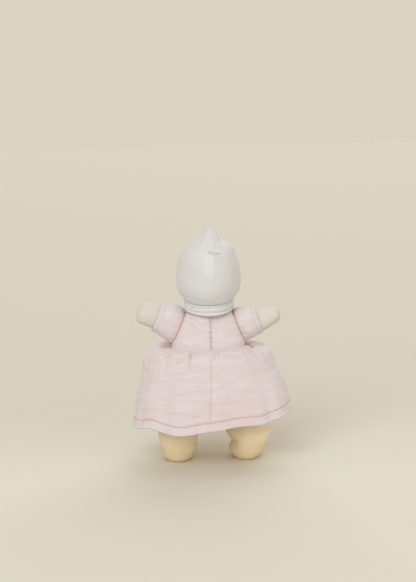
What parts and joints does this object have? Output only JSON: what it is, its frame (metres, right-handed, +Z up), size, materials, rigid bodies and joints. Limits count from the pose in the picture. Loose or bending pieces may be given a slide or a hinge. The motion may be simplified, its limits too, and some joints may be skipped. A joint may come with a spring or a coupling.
{
  "type": "soft-bodied baby doll",
  "caption": "Small baby doll with a hollow rubber head in a peaked bonnet, a stuffed cloth body with jointed arms and legs, and a muslin dress with a gathered skirt.",
  "frame": {"origin": "on the floor, under the middle of the doll", "axes": "+Z up, the doll faces -Y and its left side is +X"},
  "size_m": [0.168, 0.1082, 0.25],
  "materials": {
    "head_rubber": "satin moulded skin tone",
    "bonnet_jersey": "white cotton jersey",
    "dress_muslin": "pale pink double muslin, slightly crinkled",
    "skin_jersey": "cream cotton jersey",
    "fibre_filling": "white polyester fibre",
    "tie_cord": "twisted cotton cord",
    "hook_and_loop": "pale nylon tape"
  },
  "bodies": {
    "torso": {"torso_skin_front": "skin_jersey", "torso_skin_back": "skin_jersey", "torso_filling": "fibre_filling", "neck_tie": "tie_cord", "bodice_front": "dress_muslin", "bodice_back_left": "dress_muslin", "bodice_back_right": "dress_muslin", "neck_binding": "dress_muslin", "placket_hook_strip": "hook_and_loop", "placket_loop_strip": "hook_and_loop"},
    "head": {"head_shell": "head_rubber", "bonnet_left_panel": "bonnet_jersey", "bonnet_right_panel": "bonnet_jersey", "bonnet_face_binding": "bonnet_jersey", "bonnet_neck_band": "bonnet_jersey"},
    "left_arm": {"left_arm_skin_front": "skin_jersey", "left_arm_skin_back": "skin_jersey", "left_arm_filling": "fibre_filling", "left_sleeve": "dress_muslin"},
    "right_arm": {"right_arm_skin_front": "skin_jersey", "right_arm_skin_back": "skin_jersey", "right_arm_filling": "fibre_filling", "right_sleeve": "dress_muslin"},
    "lap": {"hip_cord": "tie_cord", "skirt_front": "dress_muslin", "skirt_back_left": "dress_muslin", "skirt_back_right": "dress_muslin"},
    "left_leg": {"left_leg_skin_front": "skin_jersey", "left_leg_skin_back": "skin_jersey", "left_leg_filling": "fibre_filling"},
    "right_leg": {"right_leg_skin_front": "skin_jersey", "right_leg_skin_back": "skin_jersey", "right_leg_filling": "fibre_filling"}
  },
  "joints": [
    {"name": "head_turn", "type": "hinge", "parent": "torso", "child": "head", "pos_m": [0, 0, 0.1615], "axis": [0, 0, 1], "range_deg": [-60, 60]},
    {"name": "left_arm_swing", "type": "hinge", "parent": "torso", "child": "left_arm", "pos_m": [0.0345, 0, 0.145], "axis": [0.3746, 0, -0.9272], "range_deg": [-45, 60]},
    {"name": "right_arm_swing", "type": "hinge", "parent": "torso", "child": "right_arm", "pos_m": [-0.0345, 0, 0.145], "axis": [0.2079, 0, 0.9781], "range_deg": [-45, 60]},
    {"name": "sit", "type": "hinge", "parent": "torso", "child": "lap", "pos_m": [0, 0, 0.082], "axis": [-1, 0, 0], "range_deg": [0, 75], "deforming": ["skirt_front", "skirt_back_left", "skirt_back_right"]},
    {"name": "left_leg_swing", "type": "hinge", "parent": "lap", "child": "left_leg", "pos_m": [0.0365, 0, 0.082], "axis": [-1, 0, 0], "range_deg": [-25, 15]},
    {"name": "right_leg_swing", "type": "hinge", "parent": "lap", "child": "right_leg", "pos_m": [-0.0365, 0, 0.082], "axis": [-1, 0, 0], "range_deg": [-25, 15]}
  ]
}
